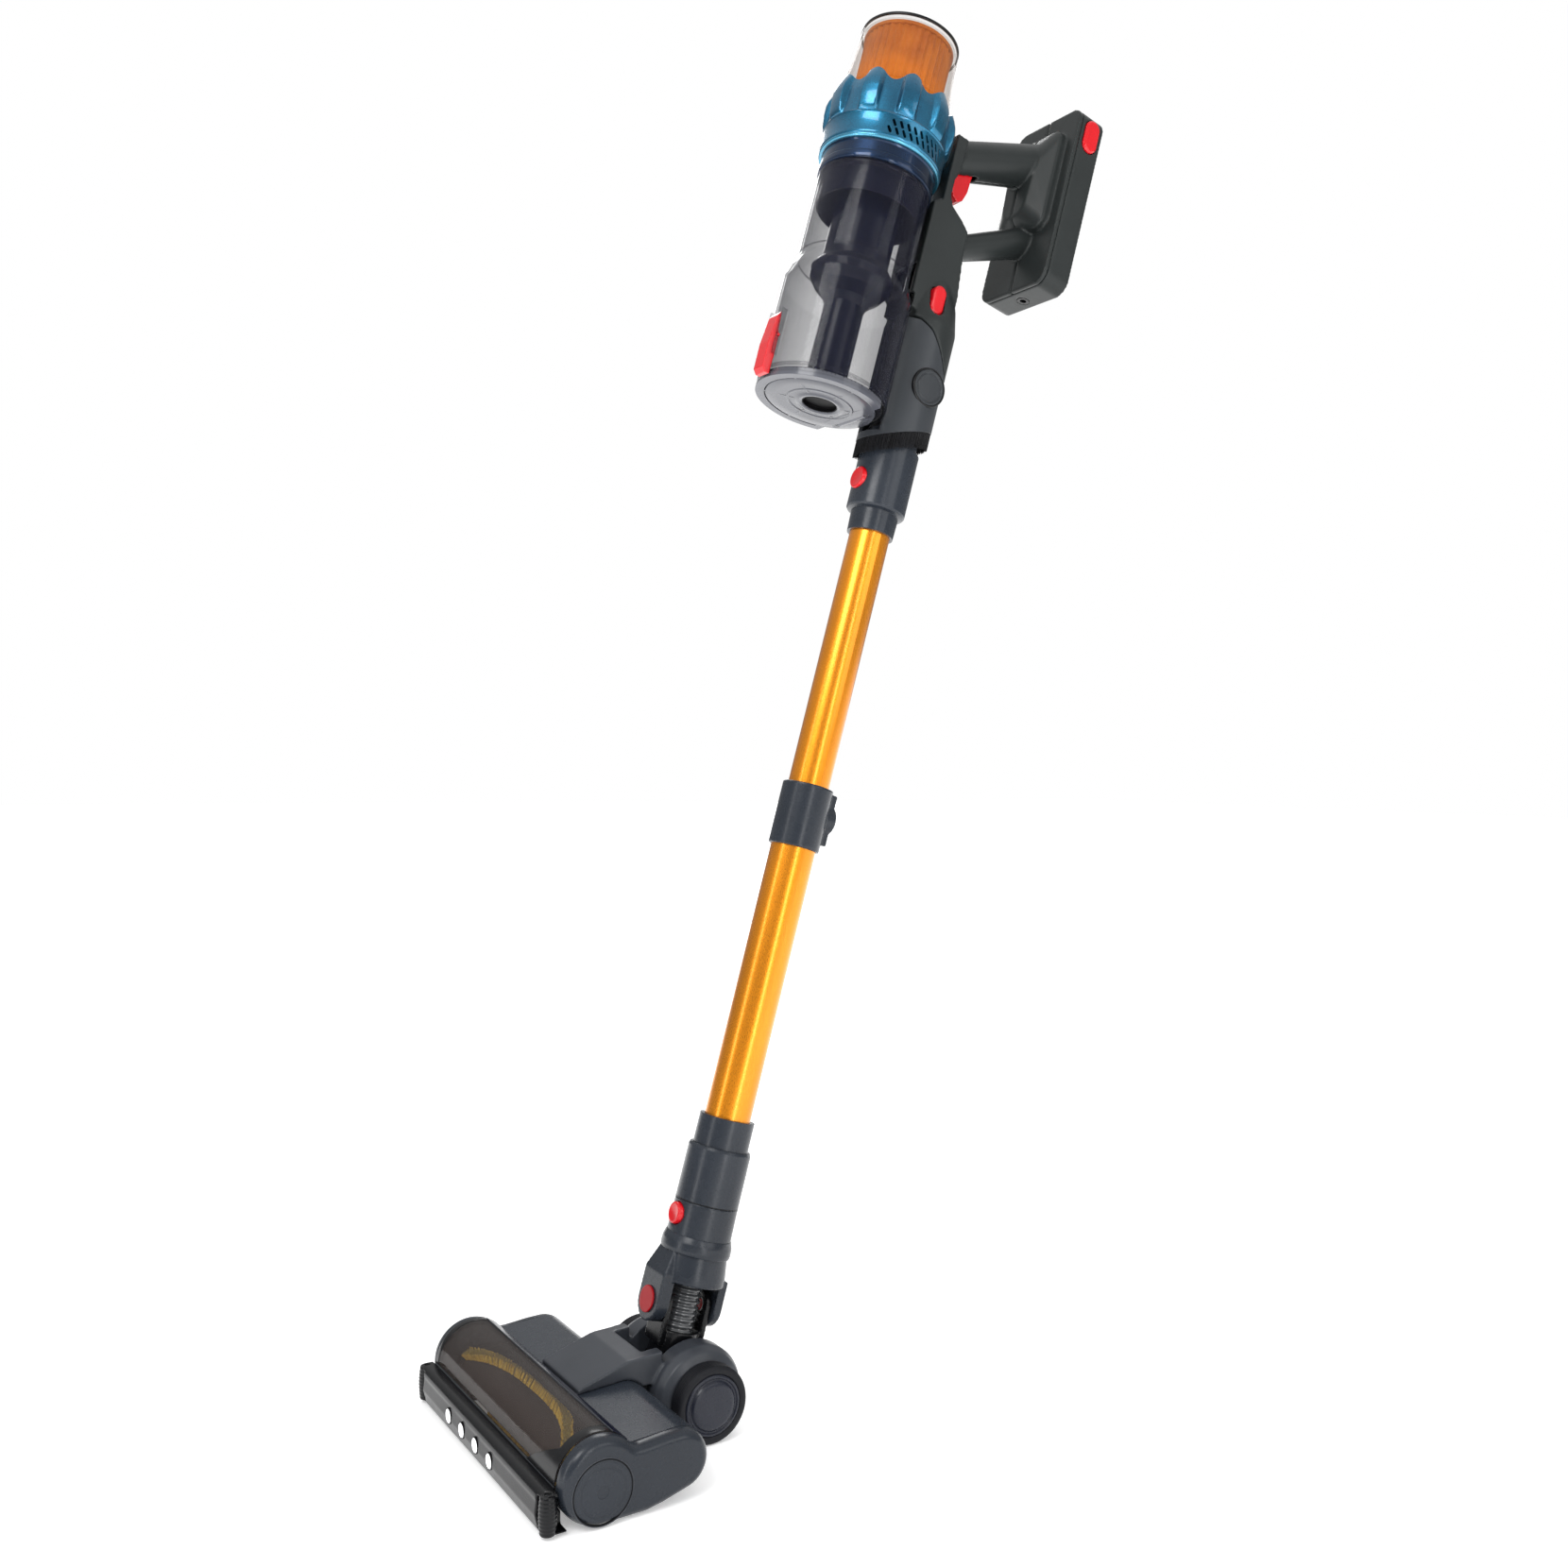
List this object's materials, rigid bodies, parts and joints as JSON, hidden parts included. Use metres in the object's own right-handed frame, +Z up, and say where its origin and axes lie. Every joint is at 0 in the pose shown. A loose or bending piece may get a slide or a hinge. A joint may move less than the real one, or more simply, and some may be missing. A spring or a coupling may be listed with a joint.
{
  "type": "cordless stick vacuum cleaner",
  "caption": "Cordless stick vacuum cleaner: powered floor head with lit bumper, jointed neck, telescopic wand, cyclone bin, handle and battery pack.",
  "frame": {"origin": "on the floor under the middle of the whole cleaner's bounding box", "axes": "+Z up, -Y towards the front of the floor head, +X to the right seen from behind"},
  "size_m": [0.24, 0.5292, 1.0608],
  "materials": {
    "battery_plastic": "satin dark grey",
    "belt_rubber": "toothed belt",
    "bin_clear": "smoky clear",
    "black_plastic": "near-black moulded",
    "board": "circuit board",
    "bristle": "olive gold nylon bristles",
    "cell": "wrapped cells",
    "cover_plastic": "satin moulded grey",
    "crown_blue": "metallic teal blue",
    "filter_orange": "pleated copper-orange",
    "gold_tube": "gold anodised",
    "handle_plastic": "satin green charcoal",
    "head_plastic": "satin moulded slate grey",
    "hose_plastic": "grey ribbed hose",
    "lamp_clear": "white lens",
    "motor_metal": "plated can",
    "navy_plastic": "navy black",
    "red_gloss": "saturated red",
    "roll_grey": "taupe",
    "sleeve_clear": "clear",
    "sleeve_plastic": "satin grey",
    "steel": "turned steel",
    "tyre_rubber": "matt black rubber",
    "window_clear": "smoky brown clear"
  },
  "bodies": {
    "floor_head": {"head_base": "head_plastic", "head_cover": "cover_plastic", "neck_housing": "cover_plastic", "brush_window": "window_clear", "front_bumper": "black_plastic", "lamp_lenses": "lamp_clear", "end_cap_left": "head_plastic", "end_cap_right": "head_plastic", "brush_bearings": "steel", "brush_motor": "motor_metal", "drive_belt": "belt_rubber", "wheel_axles": "steel"},
    "release_cap": {"brush_release_cap": "head_plastic"},
    "corner_roller_l": {"corner_roller_left": "black_plastic"},
    "corner_roller_r": {"corner_roller_right": "black_plastic"},
    "brush_roll": {"brush_core": "roll_grey", "brush_bristles": "bristle", "brush_pulley": "black_plastic"},
    "motor_rotor": {"motor_pulley": "steel"},
    "wheel_l": {"wheel_left": "black_plastic", "tyre_left": "tyre_rubber"},
    "wheel_r": {"wheel_right": "black_plastic", "tyre_right": "tyre_rubber"},
    "elbow": {"neck_elbow": "black_plastic"},
    "yoke": {"neck_yoke": "head_plastic", "swivel_pivots": "red_gloss", "neck_hose": "hose_plastic"},
    "neck_latch": {"neck_button": "red_gloss"},
    "lower_wand": {"lower_connector": "head_plastic", "lower_tube": "gold_tube", "wand_collar": "black_plastic"},
    "wand_lock": {"wand_lock_button": "black_plastic"},
    "upper_wand": {"upper_tube": "gold_tube", "upper_connector": "head_plastic"},
    "wand_latch": {"wand_button": "red_gloss"},
    "handheld": {"inlet_duct": "black_plastic", "body_shell_left": "handle_plastic", "body_shell_right": "handle_plastic", "control_board": "board", "motor_housing": "navy_plastic", "main_motor": "motor_metal", "crown": "crown_blue"},
    "sleeve": {"dusting_sleeve": "sleeve_plastic", "dusting_bristles": "black_plastic"},
    "fan": {"impeller": "navy_plastic"},
    "trigger_key": {"trigger": "red_gloss"},
    "bin_release": {"bin_release_button": "red_gloss"},
    "dust_bin": {"bin": "bin_clear", "lid_hinge_pin": "steel", "cyclone_shroud": "navy_plastic", "cyclone_body": "navy_plastic"},
    "lid": {"bin_lid": "sleeve_plastic"},
    "latch": {"bin_latch": "red_gloss"},
    "filter": {"filter_cartridge": "filter_orange", "filter_sleeve": "sleeve_clear"},
    "battery": {"battery_case": "battery_plastic", "battery_cells": "cell", "charging_socket": "black_plastic"},
    "battery_release_l": {"battery_button_left": "red_gloss"},
    "battery_release_r": {"battery_button_right": "red_gloss"}
  },
  "joints": [
    {"name": "brush_spin", "type": "hinge", "parent": "floor_head", "child": "brush_roll", "pos_m": [0, -0.2246, 0.0225], "axis": [1, 0, 0], "continuous": true},
    {"name": "motor_spin", "type": "hinge", "parent": "floor_head", "child": "motor_rotor", "pos_m": [0, -0.1666, 0.0275], "axis": [1, 0, 0], "continuous": true},
    {"name": "brush_release_turn", "type": "hinge", "parent": "floor_head", "child": "release_cap", "pos_m": [0, -0.2246, 0.0225], "axis": [1, 0, 0], "range_deg": [0, 60]},
    {"name": "left_roller_spin", "type": "hinge", "parent": "floor_head", "child": "corner_roller_l", "pos_m": [-0.1125, -0.2586, 0.01], "axis": [0, 0, 1], "continuous": true},
    {"name": "right_roller_spin", "type": "hinge", "parent": "floor_head", "child": "corner_roller_r", "pos_m": [0.1125, -0.2586, 0.01], "axis": [0, 0, 1], "continuous": true},
    {"name": "left_wheel_spin", "type": "hinge", "parent": "floor_head", "child": "wheel_l", "pos_m": [-0.0535, -0.1111, 0.0275], "axis": [1, 0, 0], "continuous": true},
    {"name": "right_wheel_spin", "type": "hinge", "parent": "floor_head", "child": "wheel_r", "pos_m": [0.0535, -0.1111, 0.0275], "axis": [1, 0, 0], "continuous": true},
    {"name": "neck_pitch", "type": "hinge", "parent": "floor_head", "child": "elbow", "pos_m": [0, -0.1111, 0.0275], "axis": [1, 0, 0], "range_deg": [-65, 15]},
    {"name": "neck_swivel", "type": "hinge", "parent": "elbow", "child": "yoke", "pos_m": [0, -0.10459, 0.08084], "axis": [0, -0.9636, 0.2672], "range_deg": [-40, 40], "deforming": ["neck_hose"]},
    {"name": "neck_button_press", "type": "slide", "parent": "yoke", "child": "neck_latch", "axis": [0, 0.9636, -0.2672], "range_m": [0, 0.002], "stiffness_N_per_m": 600, "springref_m": -0.001},
    {"name": "wand_pull_off", "type": "slide", "parent": "yoke", "child": "lower_wand", "axis": [0, 0.2672, 0.9636], "range_m": [0, 0.04]},
    {"name": "wand_lock_press", "type": "slide", "parent": "lower_wand", "child": "wand_lock", "axis": [0, -0.9636, 0.2672], "range_m": [0, 0.002], "stiffness_N_per_m": 600, "springref_m": -0.001},
    {"name": "wand_telescope", "type": "slide", "parent": "lower_wand", "child": "upper_wand", "axis": [0, -0.2672, -0.9636], "range_m": [0, 0.18]},
    {"name": "wand_button_press", "type": "slide", "parent": "upper_wand", "child": "wand_latch", "axis": [0, 0.9636, -0.2672], "range_m": [0, 0.002], "stiffness_N_per_m": 600, "springref_m": -0.001},
    {"name": "handheld_pull_off", "type": "slide", "parent": "upper_wand", "child": "handheld", "axis": [0, 0.2672, 0.9636], "range_m": [0, 0.04]},
    {"name": "sleeve_slide", "type": "slide", "parent": "handheld", "child": "sleeve", "axis": [0, -0.2672, -0.9636], "range_m": [0, 0.025]},
    {"name": "fan_spin", "type": "hinge", "parent": "handheld", "child": "fan", "pos_m": [0, 0.06906, 0.98014], "axis": [0, 0.2672, 0.9636], "continuous": true},
    {"name": "trigger_pull", "type": "hinge", "parent": "handheld", "child": "trigger_key", "pos_m": [0, 0.13289, 0.9671], "axis": [1, 0, 0], "range_deg": [0, 7], "stiffness_Nm_per_rad": 0.3, "springref_deg": -2.86},
    {"name": "bin_button_press", "type": "slide", "parent": "handheld", "child": "bin_release", "axis": [-1, 0, 0], "range_m": [0, 0.003], "stiffness_N_per_m": 600, "springref_m": -0.001},
    {"name": "bin_pull_off", "type": "slide", "parent": "handheld", "child": "dust_bin", "axis": [0, -0.9636, 0.2672], "range_m": [0, 0.07]},
    {"name": "lid_open", "type": "hinge", "parent": "dust_bin", "child": "lid", "pos_m": [0, 0.03789, 0.74803], "axis": [1, 0, 0], "range_deg": [0, 65]},
    {"name": "latch_press", "type": "hinge", "parent": "dust_bin", "child": "latch", "pos_m": [0, -0.03684, 0.79885], "axis": [-1, 0, 0], "range_deg": [0, 6], "stiffness_Nm_per_rad": 0.3, "springref_deg": -2.86},
    {"name": "filter_lift", "type": "slide", "parent": "handheld", "child": "filter", "axis": [0, 0.2672, 0.9636], "range_m": [0, 0.06]},
    {"name": "battery_slide", "type": "slide", "parent": "handheld", "child": "battery", "axis": [0, 0.9636, -0.2672], "range_m": [0, 0.04]},
    {"name": "left_battery_button_press", "type": "slide", "parent": "battery", "child": "battery_release_l", "axis": [1, 0, 0], "range_m": [0, 0.0022], "stiffness_N_per_m": 600, "springref_m": -0.001},
    {"name": "right_battery_button_press", "type": "slide", "parent": "battery", "child": "battery_release_r", "axis": [-1, 0, 0], "range_m": [0, 0.0022], "stiffness_N_per_m": 600, "springref_m": -0.001}
  ],
  "couplings": [
    {"joint": "motor_spin", "follows": "brush_spin", "ratio": 2.1818}
  ]
}
